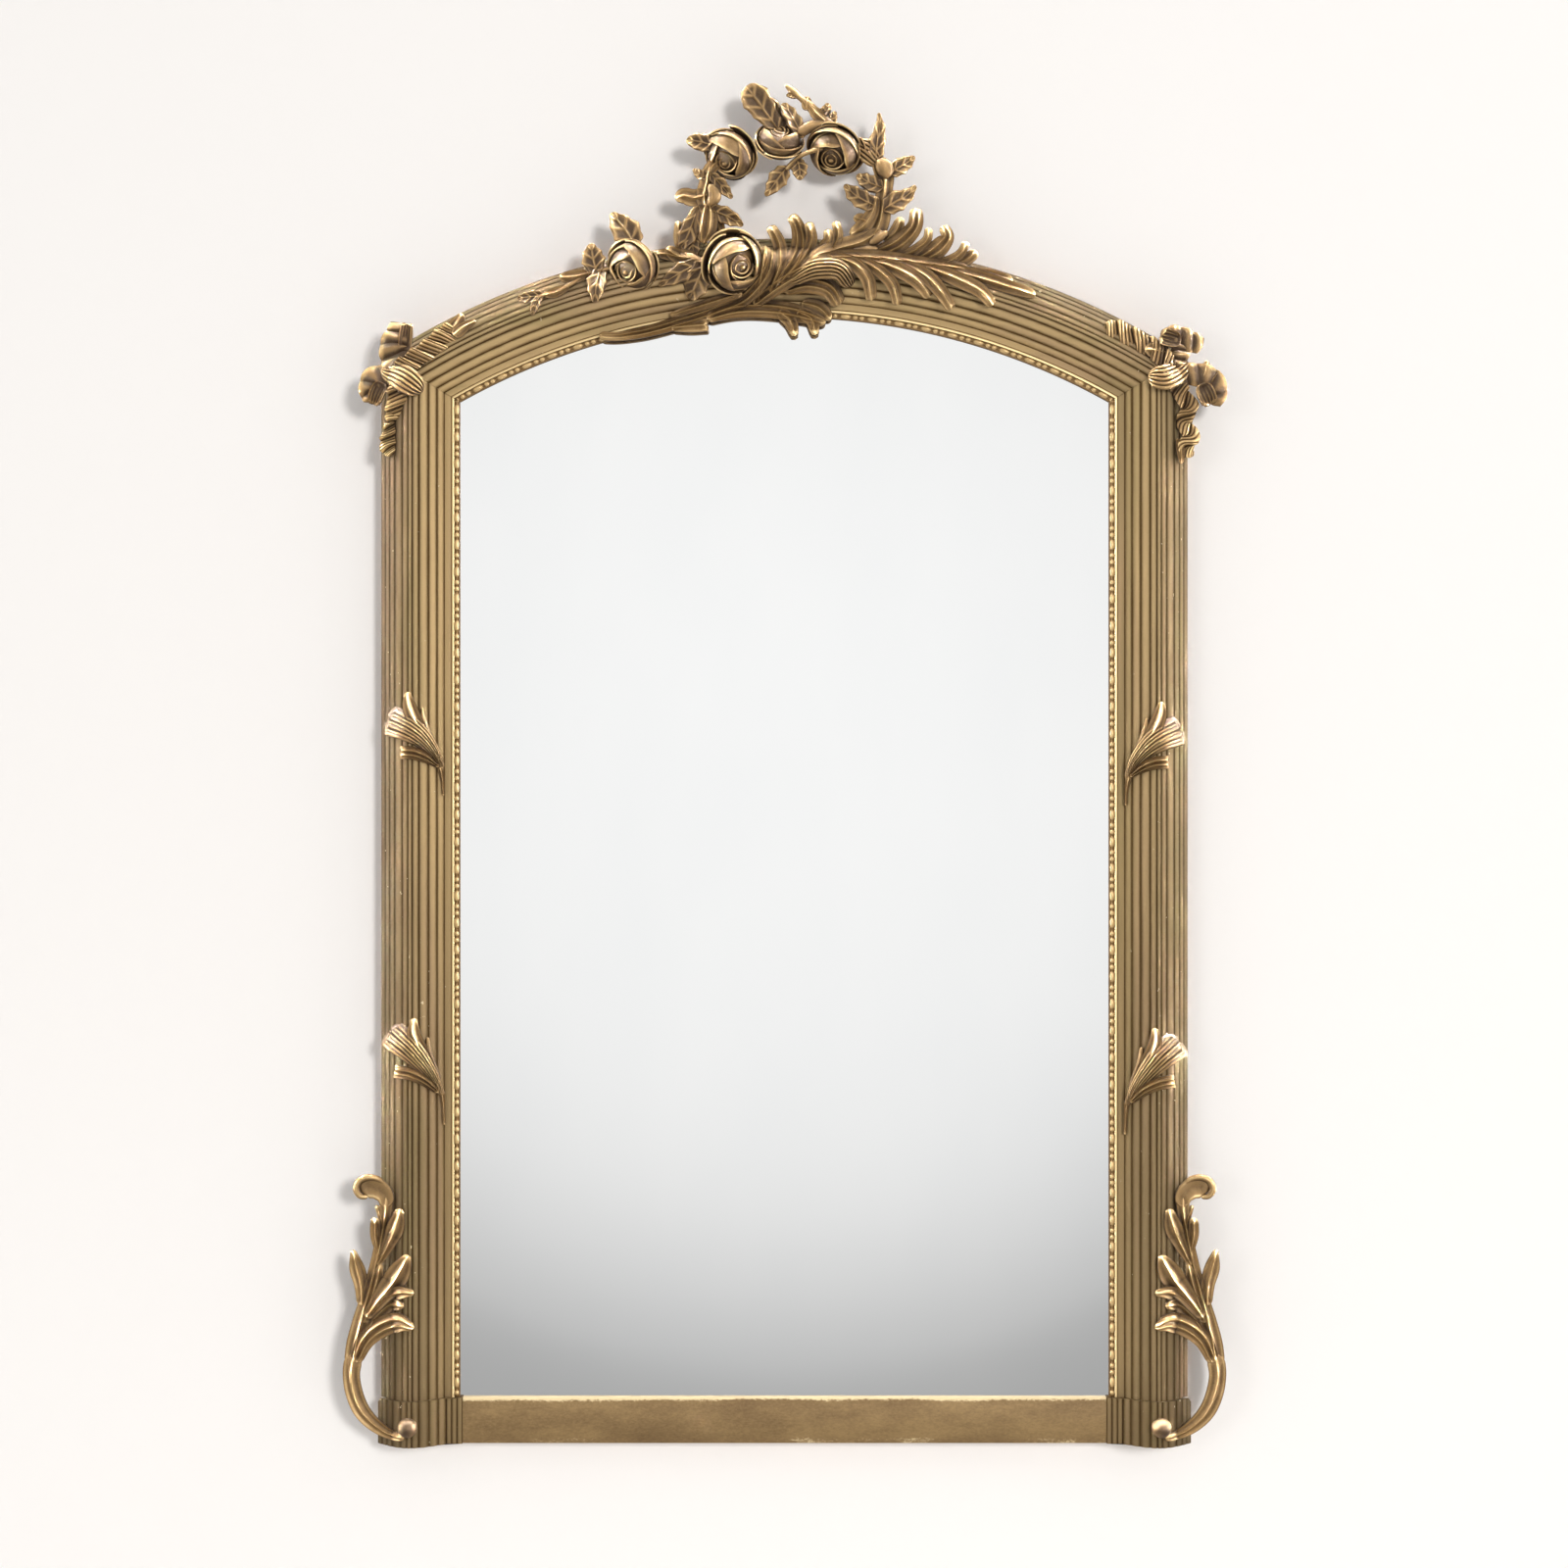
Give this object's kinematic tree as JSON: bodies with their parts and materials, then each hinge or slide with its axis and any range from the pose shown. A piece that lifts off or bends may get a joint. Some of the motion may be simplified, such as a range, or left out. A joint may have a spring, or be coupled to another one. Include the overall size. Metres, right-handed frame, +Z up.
{
  "type": "trumeau mirror",
  "caption": "Tall overmantel wall mirror with a low arched head, reeded gilded wooden frame, ribbon bows, acanthus leaves, scroll brackets and a free-standing crest of roses.",
  "frame": {"origin": "middle of the bottom back edge, where the plane of the wall meets the plane of the foot", "axes": "+X across to the right as seen from the front, +Y back into the wall, +Z up; the front faces -Y"},
  "size_m": [1.1702, 0.1014, 1.8073],
  "materials": {
    "moulding": "worn water gilding over gesso on carved wood",
    "rail": "worn bronze-coloured gilding over gesso, chipped at the edges",
    "bead": "burnished gilding",
    "carving": "antique gilding, dark in the hollows and bright on the edges",
    "mirror": "silvered plate glass",
    "pine": "bare aged softwood",
    "iron": "dark flat iron",
    "brass": "dull brass"
  },
  "bodies": {
    "frame": {"arch_rail": "moulding", "stile_left": "moulding", "stile_right": "moulding", "plinth_left": "moulding", "plinth_right": "moulding", "bottom_rail": "rail", "bead_strip_arch": "bead", "bead_strip_left": "bead", "bead_strip_right": "bead", "mirror_plate": "mirror", "backboard_1": "pine", "backboard_2": "pine", "backboard_3": "pine", "backboard_4": "pine", "backboard_5": "pine", "backboard_6": "pine", "glazing_block_1": "pine", "glazing_block_2": "pine", "glazing_block_3": "pine", "glazing_block_4": "pine", "glazing_block_5": "pine", "glazing_block_6": "pine", "corner_brace_left": "iron", "corner_brace_right": "iron", "hanger_plate_left": "brass", "hanger_plate_right": "brass", "hanger_screw_1": "brass", "hanger_screw_2": "brass", "hanger_screw_3": "brass", "hanger_screw_4": "brass", "bracket_left": "carving", "bracket_right": "carving", "boss_left": "carving", "boss_right": "carving", "bow_left": "carving", "bow_right": "carving", "leaf_upper_left": "carving", "leaf_upper_right": "carving", "leaf_lower_left": "carving", "leaf_lower_right": "carving", "rose_garland_left": "carving", "rose_garland_centre": "carving", "rose_garland_right": "carving", "rose_arch_outer": "carving", "rose_arch_inner": "carving", "rose_leaf": "carving", "rose_sprig": "carving", "garland_stem_left": "carving", "garland_stem_right": "carving", "garland_top_leaf": "carving", "garland_twig": "carving", "garland_hanging_leaf": "carving", "arch_leaves": "carving", "acanthus_fan": "carving", "acanthus_spray": "carving", "acanthus_tail": "carving"},
    "ring_left": {"hanger_ring_left": "brass"},
    "ring_right": {"hanger_ring_right": "brass"}
  },
  "joints": [
    {"name": "ring_left_swing", "type": "hinge", "parent": "frame", "child": "ring_left", "pos_m": [-0.495, -0.0065, 1.18], "axis": [1, 0, 0], "range_deg": [0, 175]},
    {"name": "ring_right_swing", "type": "hinge", "parent": "frame", "child": "ring_right", "pos_m": [0.495, -0.0065, 1.18], "axis": [1, 0, 0], "range_deg": [0, 175]}
  ]
}
